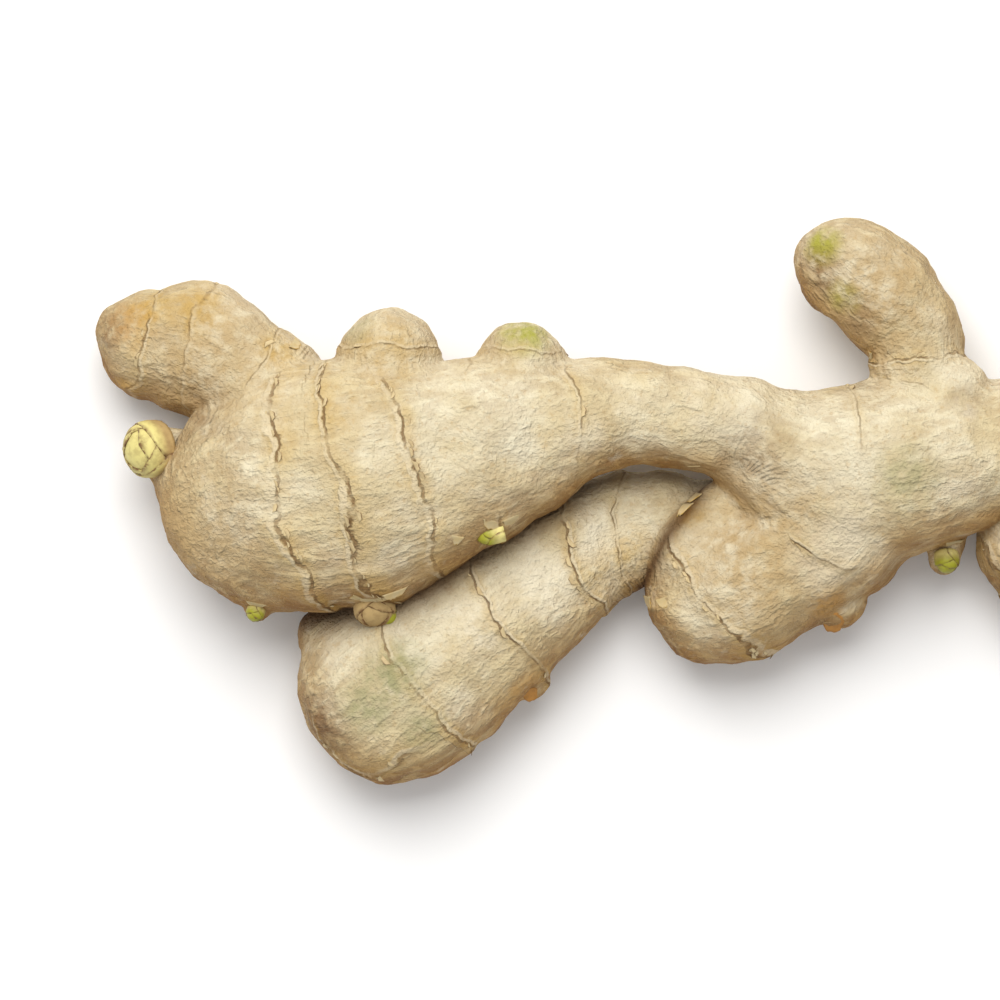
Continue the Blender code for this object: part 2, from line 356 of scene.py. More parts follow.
def rounded_cone_group():
    """How far a point is outside a cone with round ends, squeezed in height."""
    tree = bpy.data.node_groups.new("rounded_cone", "GeometryNodeTree")
    add_sockets(
        tree,
        (("Start", "Vector"), ("Axis", "Vector"), ("Start Radius", "Float"),
         ("End Radius", "Float"), ("Squeeze", "Vector")),
        (("Distance", "Float"),),
    )
    given = tree.nodes.new("NodeGroupInput").outputs
    place = tree.nodes.new("GeometryNodeInputPosition").outputs[0]
    offset = vector_maths(tree, "SUBTRACT", place, given["Start"]).outputs["Vector"]
    along = vector_maths(tree, "DOT_PRODUCT", offset, given["Axis"]).outputs["Value"]
    length = vector_maths(tree, "DOT_PRODUCT", given["Axis"], given["Axis"]).outputs["Value"]
    share = node(tree, "ShaderNodeClamp", links={"Value": maths(tree, "DIVIDE", along, length)})
    on_axis = node(tree, "ShaderNodeVectorMath", {"operation": "SCALE"},
                   {0: given["Axis"], "Scale": share.outputs[0]})
    aside = vector_maths(tree, "SUBTRACT", offset, on_axis.outputs["Vector"]).outputs["Vector"]
    squeezed = vector_maths(tree, "MULTIPLY", aside, given["Squeeze"]).outputs["Vector"]
    reach = vector_maths(tree, "LENGTH", squeezed).outputs["Value"]
    radius = node(tree, "ShaderNodeMix", links={
        "Factor": share.outputs[0], "A": given["Start Radius"], "B": given["End Radius"]})
    node(tree, "NodeGroupOutput", links={0: minus(tree, reach, radius.outputs[0])})
    return tree


def limb_field(tree, cone, depth, stations):
    """The field of one limb: its cones, blended end to end."""
    field = None
    for start, end in zip(stations, stations[1:]):
        first = Vector((np.array(start[:3]) - MIDDLE) * MM)
        last = Vector((np.array(end[:3]) - MIDDLE) * MM)
        made = node(tree, "GeometryNodeGroup", {"node_tree": cone}, values={
            "Start": first, "Axis": last - first, "Start Radius": start[3] * MM,
            "End Radius": end[3] * MM, "Squeeze": (1.0, 1.0, 1.0 / depth)})
        distance = made.outputs["Distance"]
        if field is not None:
            distance = maths(tree, "SMOOTH_MIN", field, distance, STATION_BLEND)
        field = distance
    return field


def skin_tree(grid_spacing):
    """Geometry nodes that blend every limb and draw a fine skin round them."""
    tree = bpy.data.node_groups.new("root_skin", "GeometryNodeTree")
    add_sockets(tree, (), (("Geometry", "Geometry"),))
    cone = rounded_cone_group()
    field = None
    for softness, depth, _, stations in LIMBS.values():
        limb = limb_field(tree, cone, depth, stations)
        field = limb if field is None else maths(tree, "SMOOTH_MIN", field, limb, softness * MM)
    margin = Vector((GRID_MARGIN,) * 3)
    low, high = SOLID_LOW - margin, SOLID_HIGH + margin
    counts = {"Resolution " + name: max(8, round(side / grid_spacing))
              for name, side in zip("XYZ", high - low)}
    grid = node(tree, "GeometryNodeVolumeCube",
                links={"Density": times(tree, field, -1.0)},
                values={"Background": -FAR_AWAY, "Min": low, "Max": high, **counts})
    skin = node(tree, "GeometryNodeVolumeToMesh", links={"Volume": grid.outputs["Volume"]},
                values={"Threshold": 0.0})
    node(tree, "NodeGroupOutput", links={0: skin.outputs["Mesh"]})
    return tree


def reach_of_limb(points, depth, stations):
    """For each point: how far it is outside the limb, its place along, beside and above it, and the
    way that the limb runs there."""
    squeeze = np.array((1.0, 1.0, 1.0 / depth))
    last = len(stations) - 2
    outside, places, ways, travelled = [], [], [], 0.0
    for index, (start, end) in enumerate(zip(stations, stations[1:])):
        start, end = np.array(start), np.array(end)
        axis = end[:3] - start[:3]
        length = np.linalg.norm(axis)
        free = (points - start[:3]) @ axis / length ** 2
        share = np.clip(free, 0.0, 1.0)
        offset = points - start[:3] - share[:, None] * axis
        radius = start[3] + share * (end[3] - start[3])
        outside.append(np.linalg.norm(offset * squeeze, axis=1) - radius)
        open_share = np.clip(free, -9.0 if index == 0 else 0.0, 9.0 if index == last else 1.0)
        level = np.array((-axis[1], axis[0], 0.0)) / math.hypot(axis[0], axis[1])
        places.append(np.stack(
            (travelled + open_share * length, offset @ level, offset[:, 2]), axis=1))
        ways.append(axis / length)
        travelled += length
    outside = np.array(outside)
    nearest = outside.min(axis=0)
    weights = np.exp((nearest - outside) / CONE_FADE)
    weights /= weights.sum(axis=0)
    return nearest, (weights[:, :, None] * np.array(places)).sum(axis=0), weights.T @ np.array(ways)


def limb_shares(points):
    """For each limb with a strand: its share of each point, each point's place on it and its way."""
    reaches = {name: reach_of_limb(points, depth, stations)
               for name, (_, depth, strand, stations) in LIMBS.items() if strand is not None}
    nearest = np.min([outside for outside, _, _ in reaches.values()], axis=0)
    shares = {name: np.exp((nearest - outside) / LIMB_FADE)
              for name, (outside, _, _) in reaches.items()}
    total = sum(shares.values())
    return {name: (shares[name] / total, *reaches[name][1:]) for name in reaches}


def ring_distance(ring, places, dice):
    """Signed distance from each point to a ring, along its limb, and how much of the ring shows."""
    name, far, near, bow, strength, all_round = ring
    _, depth, _, stations = LIMBS[name]
    height = np.mean([station[2] for station in stations])
    ends = np.array((far + (height,), near + (height,)))
    _, crossing, _ = reach_of_limb(ends, depth, stations)
    (far_along, far_side, _), (near_along, near_side, _) = crossing
    across = (places[:, 1] - far_side) / (near_side - far_side)
    held = np.clip(across, -0.2, 1.2)
    line = far_along + (near_along - far_along) * held + bow * (1.0 - (2.0 * held - 1.0) ** 2)
    turn = np.arctan2(places[:, 2], places[:, 1])
    wobble = np.zeros(len(places))
    shown = np.full(len(places), 0.15)
    for waves, sway, gap in RING_WAVES:
        wobble += sway * np.sin(waves * turn + dice.uniform(0.0, 2.0 * math.pi))
        shown += gap * np.sin((waves + 1) * turn + dice.uniform(0.0, 2.0 * math.pi))
    shown = np.clip(0.80 + 0.6 * shown, 0.30, 1.0) * strength
    if not all_round:
        shown *= np.clip(np.minimum(across, 1.0 - across) * 6.0 + 1.0, 0.0, 1.0)
        shown *= places[:, 2] > 0.0
    return places[:, 0] - line + wobble, shown


def ring_profile(gap, side):
    """Height of the skin about a ring: a step down, a low lip and a narrow groove."""
    gap = gap * side
    slope = np.where(gap < 0.0, np.exp(np.minimum(gap, 0.0) / 3.2), np.exp(-(gap / 0.5) ** 2))
    lip = np.exp(-(((gap + 0.6) / 0.8) ** 2))
    groove = np.exp(-(((gap - 0.8) / 0.8) ** 2))
    return 0.55 * slope + 0.35 * lip - 0.25 * groove


def ring_fields(limbs, count, dice):
    """Over all rings: the nearest one's gap, how much it shows, and the skin's height about them."""
    best = np.full(count, NO_RING)
    gap_of_best = np.full(count, 9.0)
    shown_of_best = np.zeros(count)
    relief = np.zeros(count)
    for ring in RINGS:
        share, places, _ = limbs[ring[0]]
        gap, shown = ring_distance(ring, places, dice)
        shown = shown * np.clip(share * 3.0 - 1.5, 0.0, 1.0)
        relief += shown * ring_profile(gap, dice.choice((-1.0, 1.0)))
        score = np.where(share > 0.5, np.abs(gap), NO_RING)
        better = score < best
        best[better] = score[better]
        gap_of_best[better] = gap[better]
        shown_of_best[better] = shown[better]
    shown_of_best *= np.clip(RING_REACH - np.abs(gap_of_best), 0.0, 1.0)
    return np.clip(gap_of_best, -9.0, 9.0), shown_of_best, relief


def fold_fields(points):
    """The curved folds in the crook of each bend: their phase, as an angle, and how much they show."""
    phase, shown = np.zeros(len(points)), np.zeros(len(points))
    for x, y, reach, heading, period, bend, strength in FOLDS:
        aside = points[:, 0] - x, points[:, 1] - y
        away = np.hypot(*aside)
        turn = np.arctan2(aside[1], aside[0]) - math.radians(heading)
        turn = (turn + math.pi) % (2.0 * math.pi) - math.pi
        fade = np.clip(2.0 - 2.0 * away / reach, 0.0, 1.0) * np.clip(away - 0.32 * reach, 0.0, 1.0)
        fade *= np.clip((1.2 - np.abs(turn)) * 1.6, 0.0, 1.0) * strength
        count = 2.0 * math.pi * 0.5 * reach / period
        own = count * (turn + bend * away / reach) + 1.8 * np.sin(1.3 * away + 5.0 * turn)
        phase = np.where(fade > shown, own, phase)
        shown = np.maximum(shown, fade)
    return phase, shown


def stain_fields(points):
    """The mixed colour of all stains at each point, and how strongly it is stained."""
    colour = np.zeros((len(points), 3))
    total = np.full(len(points), 1e-6)
    clear = np.ones(len(points))
    for x, y, radius, tint, strength in STAINS:
        flat = np.hypot(points[:, 0] - x, points[:, 1] - y)
        near = flat < 2.5
        if not near.any():
            near = flat <= flat.min() + 0.5
        height = points[near, 2].max()
        away = np.sqrt(flat ** 2 + (points[:, 2] - height) ** 2) / radius
        share = strength * np.clip(1.5 - away, 0.0, 1.0)
        colour += share[:, None] * np.array(seen(tint))
        total += share
        clear *= 1.0 - share
    return np.concatenate((colour / total[:, None], (1.0 - clear)[:, None]), axis=1)


def write_attribute(mesh, name, kind, values):
    made = mesh.attributes.new(name, kind, "POINT")
    field = {"FLOAT": "value", "FLOAT_VECTOR": "vector", "FLOAT_COLOR": "color"}[kind]
    made.data.foreach_set(field, np.ascontiguousarray(values, np.float32).ravel())


def positions(mesh):
    held = np.empty(len(mesh.vertices) * 3, np.float32)
    mesh.vertices.foreach_get("co", held)
    return held.reshape(-1, 3).astype(float)


def normals(mesh):
    held = np.empty(len(mesh.vertices) * 3, np.float32)
    mesh.vertex_normals.foreach_get("vector", held)
    return held.reshape(-1, 3).astype(float)


def mark_skin(mesh, seed):
    """Writes onto the skin what its relief and its colours follow."""
    points = positions(mesh) / MM + MIDDLE
    limbs = limb_shares(points)
    dice = np.random.default_rng(seed)
    for strand, attribute in enumerate(STRANDS):
        members = [limbs[name] for name, limb in LIMBS.items() if limb[2] == strand]
        shares = np.array([share for share, _, _ in members])
        pull = shares ** 3 + 1e-9
        places = (pull[:, :, None] * np.array([place for _, place, _ in members])).sum(axis=0)
        write_attribute(mesh, attribute, "FLOAT_VECTOR", places / pull.sum(axis=0)[:, None])
        write_attribute(mesh, "share" + attribute[-2:], "FLOAT", shares.sum(axis=0))
    write_attribute(mesh, "along", "FLOAT_VECTOR", sum(
        share[:, None] * way for share, _, way in limbs.values()))
    gap, shown, relief = ring_fields(limbs, len(points), dice)
    write_attribute(mesh, "ring_gap", "FLOAT", gap)
    write_attribute(mesh, "ring_shown", "FLOAT", shown)
    write_attribute(mesh, "ring_relief", "FLOAT", relief)
    finger = limbs["finger"][0]  # painted shadow, darkest where the finger meets what lies over it
    write_attribute(mesh, "painted_seam_shadow", "FLOAT", (4.0 * finger * (1.0 - finger)) ** 0.8)
    phase, folded = fold_fields(points)
    write_attribute(mesh, "fold_phase", "FLOAT", phase)
    write_attribute(mesh, "fold_shown", "FLOAT", folded)
    write_attribute(mesh, "stain", "FLOAT_COLOR", stain_fields(points))
    # How wrinkled each point is, which also carries painted shade: it grows on steep sides, most on those
    # facing away from the key light (towards −Y), where the skin gets deeper wrinkles, painted ochre shade
    # and painted darker wrinkle valleys.
    outward = normals(mesh)
    tilt = np.sqrt(np.clip(1.0 - np.clip(outward[:, 2], 0.0, 1.0) ** 2, 0.0, 1.0))
    write_attribute(mesh, "wrinkled", "FLOAT", 0.18 + 0.82 * tilt * (0.78 - 0.28 * outward[:, 1]))


def wrinkle_group(kind):
    """Wrinkles that run along the limbs: three strands of stretched noise, mixed by their shares."""
    name = "wrinkles_" + ("shape" if kind == "GeometryNodeTree" else "shade")
    tree = bpy.data.node_groups.new(name, kind)
    add_sockets(tree, (("Width", "Float"), ("Stretch", "Float"), ("Detail", "Float")),
                (("Height", "Float"),))
    given = tree.nodes.new("NodeGroupInput").outputs
    total = None
    for attribute in STRANDS:
        if kind == "GeometryNodeTree":
            place = node(tree, "GeometryNodeInputNamedAttribute", {"data_type": "FLOAT_VECTOR"},
                         values={"Name": attribute}).outputs["Attribute"]
            share = node(tree, "GeometryNodeInputNamedAttribute",
                         values={"Name": "share" + attribute[-2:]}).outputs["Attribute"]
        else:
            place = node(tree, "ShaderNodeAttribute", {"attribute_name": attribute}).outputs["Vector"]
            share = node(tree, "ShaderNodeAttribute",
                         {"attribute_name": "share" + attribute[-2:]}).outputs["Fac"]
        shorten = node(tree, "ShaderNodeCombineXYZ",
                       links={0: maths(tree, "DIVIDE", 1.0, given["Stretch"])}, values={1: 1.0, 2: 1.0})
        drawn = vector_maths(tree, "MULTIPLY", place, shorten.outputs[0]).outputs["Vector"]
        noise = node(tree, "ShaderNodeTexNoise",
                     links={"Vector": drawn, "Scale": maths(tree, "DIVIDE", 1.0, given["Width"]),
                            "Detail": given["Detail"]},
                     values={"Roughness": 0.42, "Distortion": 0.6})
        fold = maths(tree, "ABSOLUTE", minus(tree, noise.outputs["Fac"], 0.5))
        ridge = maths(tree, "MINIMUM", times(tree, fold, 3.2), 1.0)
        hill = times(tree, minus(tree, noise.outputs["Fac"], 0.28), 2.0)
        swell = plus(tree, times(tree, hill, 0.72), times(tree, ridge, 0.28))
        part = times(tree, swell, share)
        total = part if total is None else plus(tree, total, part)
    node(tree, "NodeGroupOutput", links={0: total})
    return tree


def relief_tree():
    """Geometry nodes that push the skin out and in: lumps, dimples, wrinkles and ring steps."""
    tree = bpy.data.node_groups.new("skin_relief", "GeometryNodeTree")
    add_sockets(
        tree,
        (("Geometry", "Geometry"), ("Lump Size", "Float"), ("Lump Height", "Float"),
         ("Dimple Size", "Float"), ("Dimple Height", "Float"), ("Wrinkle Width", "Float"),
         ("Wrinkle Height", "Float"), ("Ring Height", "Float"), ("Material", "Material")),
        (("Geometry", "Geometry"),),
    )
    given = tree.nodes.new("NodeGroupInput").outputs

    def noise_layer(size, height, detail):
        noise = node(tree, "ShaderNodeTexNoise",
                     links={"Scale": maths(tree, "DIVIDE", 1.0, size)}, values={"Detail": detail})
        return times(tree, minus(tree, noise.outputs["Fac"], 0.5), height)

    def marked(name):
        return node(tree, "GeometryNodeInputNamedAttribute", values={"Name": name}).outputs["Attribute"]

    lumps = noise_layer(given["Lump Size"], given["Lump Height"], 1.0)
    dimples = noise_layer(given["Dimple Size"], given["Dimple Height"], 2.0)
    wrinkles = node(tree, "GeometryNodeGroup", {"node_tree": wrinkle_group("GeometryNodeTree")},
                    {"Width": given["Wrinkle Width"]}, {"Stretch": 4.0, "Detail": 1.0})
    folds = times(tree, times(tree, wrinkles.outputs[0], marked("wrinkled")),
                  given["Wrinkle Height"])
    rings = times(tree, marked("ring_relief"), given["Ring Height"])
    height = plus(tree, plus(tree, lumps, dimples), plus(tree, folds, rings))
    normal = tree.nodes.new("GeometryNodeInputNormal").outputs[0]
    push = node(tree, "ShaderNodeVectorMath", {"operation": "SCALE"}, {0: normal, "Scale": height})
    moved = node(tree, "GeometryNodeSetPosition",
                 links={"Geometry": given["Geometry"], "Offset": push.outputs["Vector"]})

    # How far each point lies in a hollow, which the skin's painted crevice shade follows.
    place = tree.nodes.new("GeometryNodeInputPosition").outputs[0]
    blurred = node(tree, "GeometryNodeBlurAttribute", {"data_type": "FLOAT_VECTOR"},
                   {"Value": place}, {"Iterations": 6})
    away = vector_maths(tree, "SUBTRACT", blurred.outputs["Value"], place).outputs["Vector"]
    hollow = vector_maths(tree, "DOT_PRODUCT", away, normal).outputs["Value"]
    stored = node(tree, "GeometryNodeStoreNamedAttribute", {"data_type": "FLOAT", "domain": "POINT"},
                  {"Geometry": moved.outputs[0], "Value": maths(tree, "DIVIDE", hollow, MM)},
                  {"Name": "hollow"})
    smooth = node(tree, "GeometryNodeSetShadeSmooth", links={"Geometry": stored.outputs[0]})
    whole = node(tree, "GeometryNodeRealizeInstances", links={"Geometry": smooth.outputs[0]})
    coated = node(tree, "GeometryNodeSetMaterial",
                  links={"Geometry": whole.outputs[0], "Material": given["Material"]})
    node(tree, "NodeGroupOutput", links={0: coated.outputs[0]})
    return tree


def settle_on_table(mesh):
    """Fits the skin to the solid's box and flattens what would sink into the table."""
    points = positions(mesh)
    low, high = np.array(SOLID_LOW), np.array(SOLID_HIGH)
    own_low, own_high = points.min(axis=0), points.max(axis=0)
    plan = (high - low)[:2] / (own_high - own_low)[:2]
    points[:, :2] = low[:2] + (points[:, :2] - own_low[:2]) * plan
    points[:, 2] = np.clip(points[:, 2] * min(1.0, high[2] / own_high[2]), low[2], high[2])
    mesh.vertices.foreach_set("co", points.astype(np.float32).ravel())
    mesh.update()


def build_skin(settings):
    """The whole root's skin, in one closed piece, marked and in relief."""
    drawn = new_object("drawn_skin", bpy.data.meshes.new("drawn_skin"))
    drawn.modifiers.new("skin", "NODES").node_group = skin_tree(settings.grid_spacing)
    skin = new_object("skin", plain_mesh(drawn, "skin"))
    bpy.data.objects.remove(drawn)
    mark_skin(skin.data, settings.seed)
    relief = skin.modifiers.new("relief", "NODES")
    relief.node_group = relief_tree()
    set_inputs(relief, {
        "Lump Size": settings.lump_size,
        "Lump Height": settings.lump_height,
        "Dimple Size": settings.dimple_size,
        "Dimple Height": settings.dimple_height,
        "Wrinkle Width": settings.wrinkle_width / MM,
        "Wrinkle Height": settings.wrinkle_height,
        "Ring Height": settings.ring_height,
        "Material": skin_material(settings),
    })
    finished = plain_mesh(skin, "skin")
    skin.modifiers.clear()
    skin.data = finished
    settle_on_table(finished)
    finish_piece(skin)
    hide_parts(NODE)
    return skin


# ---------------------------------------------------------------- finishes

def marked_value(tree, name, output="Fac"):
    return node(tree, "ShaderNodeAttribute", {"attribute_name": name}).outputs[output]


def noise_value(tree, size, detail=3.0, roughness=0.55):
    """Noise on the object's own coordinates, with features of this size in metres."""
    place = tree.nodes.new("ShaderNodeTexCoord").outputs["Object"]
    made = node(tree, "ShaderNodeTexNoise", links={"Vector": place},
                values={"Scale": 1.0 / size, "Detail": detail, "Roughness": roughness})
    return made.outputs["Fac"]


def between(tree, value, low, high, to_low=0.0, to_high=1.0):
    made = node(tree, "ShaderNodeMapRange", {"interpolation_type": "SMOOTHSTEP"}, {"Value": value},
                {"From Min": low, "From Max": high, "To Min": to_low, "To Max": to_high})
    return made.outputs["Result"]


def mixed(tree, share, first, second, blend="MIX"):
    made = node(tree, "ShaderNodeMix", {"data_type": "RGBA", "blend_type": blend})
    for socket, given in zip((made.inputs[0], made.inputs[6], made.inputs[7]), (share, first, second)):
        feed(tree, socket, (*given[:3], 1.0) if isinstance(given, tuple) else given)
    return made.outputs[2]


def new_material(name, colour):
    material = bpy.data.materials.new(name)
    material.use_nodes = True
    material.diffuse_color = (*seen(colour[:3]), 1.0)
    tree = material.node_tree
    return material, tree, tree.nodes["Principled BSDF"]


def skin_material(settings):
    """Dry papery skin: pale tops, ochre flanks that are partly painted shade, dark torn rings, stains and
    fine wrinkles, with painted shade in its wrinkle valleys, crevices and along the finger's seam.
    """
    material, tree, shader = new_material("ginger_skin", settings.pale)
    pale, tan, ochre = seen(settings.pale), seen(settings.tan), seen(settings.ochre)
    dark = seen(settings.dark)

    mottle = between(tree, noise_value(tree, 0.013, 4.0), 0.36, 0.62)
    colour = mixed(tree, mottle, pale, tan)
    patchy = between(tree, noise_value(tree, 0.011, 3.0), 0.30, 0.65, 0.6, 1.15)
    wrinkled = times(tree, marked_value(tree, "wrinkled"), patchy)
    # The flanks' ochre is partly the skin's own colour and partly painted shade, strongest on sides facing
    # away from the key light.
    flank_colour_and_shade = times(tree, between(tree, marked_value(tree, "wrinkled"), 0.45, 1.05),
                  between(tree, noise_value(tree, 0.006, 4.0), 0.30, 0.62, 0.6, 1.0))
    colour = mixed(tree, times(tree, flank_colour_and_shade, 0.85), colour, ochre)

    wrinkle = wrinkle_group("ShaderNodeTree")
    coarse = node(tree, "ShaderNodeGroup", {"node_tree": wrinkle},
                  values={"Width": settings.fold_width / MM, "Stretch": 2.3, "Detail": 1.0}).outputs[0]
    fine = node(tree, "ShaderNodeGroup", {"node_tree": wrinkle},
                values={"Width": settings.crease_width / MM, "Stretch": 1.9, "Detail": 1.5}).outputs[0]
    wrinkles = plus(tree, times(tree, coarse, 0.6), times(tree, fine, 0.4))
    fold_shown = marked_value(tree, "fold_shown")
    wave = maths(tree, "SINE", marked_value(tree, "fold_phase"))
    wave = plus(tree, times(tree, wave, 0.5), 0.5)
    uneven = between(tree, noise_value(tree, 0.0025, 2.0), 0.30, 0.60, 0.3, 1.0)
    folds = times(tree, minus(tree, wave, 1.0), times(tree, fold_shown, uneven))
    # Painted shade in the valleys of the wrinkles and folds, deepest on the shaded flanks.
    painted_valley_shade = times(tree, between(tree, wrinkles, 0.58, 0.20), wrinkled)
    painted_valley_shade = maths(tree, "MAXIMUM", painted_valley_shade, times(tree, folds, -0.4))
    colour = mixed(tree, times(tree, painted_valley_shade, 0.62), colour, seen(settings.shade), "MULTIPLY")
    # Painted shade: the flanks are multiplied by a warm dark tint.
    colour = mixed(tree, flank_colour_and_shade, colour, seen(settings.warm_flank_shade), "MULTIPLY")
    speckle = between(tree, noise_value(tree, 0.0009, 2.0), 0.56, 0.72)
    colour = mixed(tree, times(tree, speckle, 0.28), colour, ochre)
    bleach = between(tree, noise_value(tree, 0.0045, 4.0), 0.60, 0.74)
    colour = mixed(tree, times(tree, bleach, 0.35), colour, seen(BONE))

    patch = node(tree, "ShaderNodeAttribute", {"attribute_name": "stain"})
    blotch = between(tree, noise_value(tree, 0.0022, 4.0), 0.30, 0.66, 0.35, 1.25)
    share = maths(tree, "MINIMUM", times(tree, patch.outputs["Alpha"], blotch), 1.0)
    colour = mixed(tree, share, colour, patch.outputs["Color"])

    jitter = times(tree, minus(tree, noise_value(tree, 0.0018, 2.0), 0.5), 0.9)
    gap = plus(tree, marked_value(tree, "ring_gap"), jitter)
    torn = between(tree, noise_value(tree, 0.0035, 3.0), 0.32, 0.52, 0.25, 1.0)
    shown = times(tree, marked_value(tree, "ring_shown"), torn)
    line = times(tree, between(tree, maths(tree, "ABSOLUTE", gap), 0.20, 0.06), shown)
    halo = times(tree, between(tree, maths(tree, "ABSOLUTE", gap), 1.8, 0.3), shown)
    lip = between(tree, maths(tree, "ABSOLUTE", plus(tree, gap, 0.42)), 0.34, 0.10)
    lip = times(tree, lip, shown)
    colour = mixed(tree, times(tree, halo, 0.35), colour, seen(GOLD))
    colour = mixed(tree, times(tree, lip, 0.40), colour, seen(BONE))
    colour = mixed(tree, times(tree, line, 0.75), colour, dark)
    # Painted shade in the skin's hollows and crevices.
    painted_crevice_shade = between(tree, marked_value(tree, "hollow"), 0.10, 0.45)
    colour = mixed(tree, times(tree, painted_crevice_shade, 0.38), colour, seen(settings.shade), "MULTIPLY")
    # Painted shadow along the finger's seam, under the edge of what lies over it.
    painted_seam_shadow = times(tree, marked_value(tree, "painted_seam_shadow"), 0.9)
    colour = mixed(tree, painted_seam_shadow, colour, tuple(0.5 * value for value in seen(settings.shade)), "MULTIPLY")
    tree.links.new(colour, shader.inputs["Base Color"])

    grain = times(tree, noise_value(tree, 0.0007, 3.0, 0.6), 0.42)
    height = plus(tree, times(tree, wrinkles, wrinkled), grain)
    height = plus(tree, height, times(tree, folds, 0.22))
    height = minus(tree, height, times(tree, line, 0.15))
    height = plus(tree, height, times(tree, lip, 0.10))
    bump = node(tree, "ShaderNodeBump", links={"Height": height},
                values={"Strength": 1.0, "Distance": settings.crease_depth})
    tree.links.new(bump.outputs["Normal"], shader.inputs["Normal"])
    shader.inputs["Roughness"].default_value = settings.roughness
    shader.inputs["Specular IOR Level"].default_value = 0.28
    return material


def scale_material(name, body_colour, tip_colour, edge_colour, roughness):
    """A bud's or a torn scale's finish: coloured from base to tip, with dry browned edges."""
    material, tree, shader = new_material(name, body_colour)
    along = marked_value(tree, "leaf_along")
    edge = marked_value(tree, "leaf_edge")
    colour = mixed(tree, between(tree, along, 0.25, 0.85), seen(body_colour), seen(tip_colour))
    fleck = between(tree, noise_value(tree, 0.0012, 3.0), 0.40, 0.70)
    colour = mixed(tree, times(tree, fleck, 0.30), colour, seen(edge_colour))
    rim = times(tree, between(tree, edge, 0.55, 1.0),
                between(tree, noise_value(tree, 0.0008, 3.0), 0.35, 0.60, 0.3, 1.0))
    colour = mixed(tree, rim, colour, seen(edge_colour))
    tree.links.new(colour, shader.inputs["Base Color"])
    veins = node(tree, "ShaderNodeBump", links={"Height": noise_value(tree, 0.0004, 2.0)},
                 values={"Strength": 0.6, "Distance": 0.00008})
    tree.links.new(veins.outputs["Normal"], shader.inputs["Normal"])
    shader.inputs["Roughness"].default_value = roughness
    shader.inputs["Specular IOR Level"].default_value = 0.35
    return material


# ---------------------------------------------------------------- scales and buds

def closed_sheet(rows, across, place, thickness, mark):
    """A thin closed shell: place(s, t) gives a point and the way out of it, for s and t from 0 to 1."""
    points, marks = [], []
    for side in (0.5, -0.5):
        for row in range(rows + 1):
            for column in range(across + 1):
                point, outward = place(row / rows, column / across)
                points.append(Vector(point) + Vector(outward).normalized() * side * thickness)
                marks.append(mark(row / rows, column / across))
    stride = across + 1
    under = (rows + 1) * stride
    faces = []
    for row in range(rows):
        for column in range(across):
            a = row * stride + column
            b, c, d = a + 1, a + stride + 1, a + stride
            faces.append((a, b, c, d))
            faces.append((under + d, under + c, under + b, under + a))
    rim = list(range(across))
    rim += [row * stride + across for row in range(rows)]
    rim += [rows * stride + column for column in range(across, 0, -1)]
    rim += [row * stride for row in range(rows, 0, -1)]
    for a, b in zip(rim, rim[1:] + rim[:1]):
        faces.append((b, a, under + a, under + b))
    return points, faces, marks


def joined_mesh(name, shells):
    """One mesh of several closed shells, marked from base to tip and from middle to edge."""
    points, faces, marks = [], [], []
    for shell_points, shell_faces, shell_marks in shells:
        first = len(points)
        points += shell_points
        faces += [tuple(first + corner for corner in face) for face in shell_faces]
        marks += shell_marks
    mesh = bpy.data.meshes.new(name)
    mesh.from_pydata(points, [], faces)
    write_attribute(mesh, "leaf_along", "FLOAT", [along for along, _ in marks])
    write_attribute(mesh, "leaf_edge", "FLOAT", [edge for _, edge in marks])
    mesh.shade_smooth()
    mesh.validate()
    return mesh


def torn_scale(dice, length, width, curl, thickness, rows=3, across=5):
    """A dry scrap of leaf sheath: rooted along one edge, worn round along the other, curling up."""
    tears = dice.uniform(0.75, 1.0, across + 1)
    lean = dice.uniform(-0.25, 0.25)

    def place(s, t):
        worn = tears[round(t * across)] * math.sqrt(1.02 - abs(2.0 * t - 1.0) ** 2.6)
        out = s * length * worn
        beside = (0.5 - t) * width * (1.0 - 0.15 * s) + lean * out
        lift = curl * out * out / length
        return (out, beside, lift), (-2.0 * curl * out / length, 0.0, 1.0)

    return closed_sheet(rows, across, place, thickness, lambda s, t: (s, s ** 3))


def bud_leaf(turn, spread, start, reach, width, length, thickness, rows=8, across=8):
    """One scale leaf of a bud, wrapped round the bud's axis (+Z) and ending in a blunt point."""

    def place(s, t):
        along = start + (reach - start) * s
        half = spread * math.sqrt(max(0.0, 1.0 - s ** 2.4)) + 0.02
        angle = turn + (2.0 * t - 1.0) * half
        swell = width * math.sqrt(max(0.0, 1.0 - max(0.0, along) ** 2.2)) + 0.03 * width
        radius = swell * (1.0 + 0.05 * s)
        out = Vector((math.cos(angle), math.sin(angle), 0.35 * s))
        return (radius * math.cos(angle), radius * math.sin(angle), along * length), out

    def mark(s, t):
        return s, max(abs(2.0 * t - 1.0), s) ** 3

    return closed_sheet(rows, across, place, thickness, mark)


def closed_lathe(first, rows, last, around, spot):
    """A closed shell round +Z. Its low and high poles are each a height and a mark; between them,
    spot(row, turn) gives a point and its mark."""
    points, marks = [Vector((0.0, 0.0, first[0]))], [first[1]]
    for row in rows:
        for step in range(around):
            point, mark = spot(row, 2.0 * math.pi * step / around)
            points.append(Vector(point))
            marks.append(mark)
    points.append(Vector((0.0, 0.0, last[0])))
    marks.append(last[1])
    top = 1 + (len(rows) - 1) * around
    faces = []
    for step in range(around):
        beyond = (step + 1) % around
        faces.append((0, 1 + beyond, 1 + step))
        faces.append((len(points) - 1, top + step, top + beyond))
        for start in range(1, top, around):
            faces.append((start + step, start + beyond, start + around + beyond, start + around + step))
    return points, faces, marks


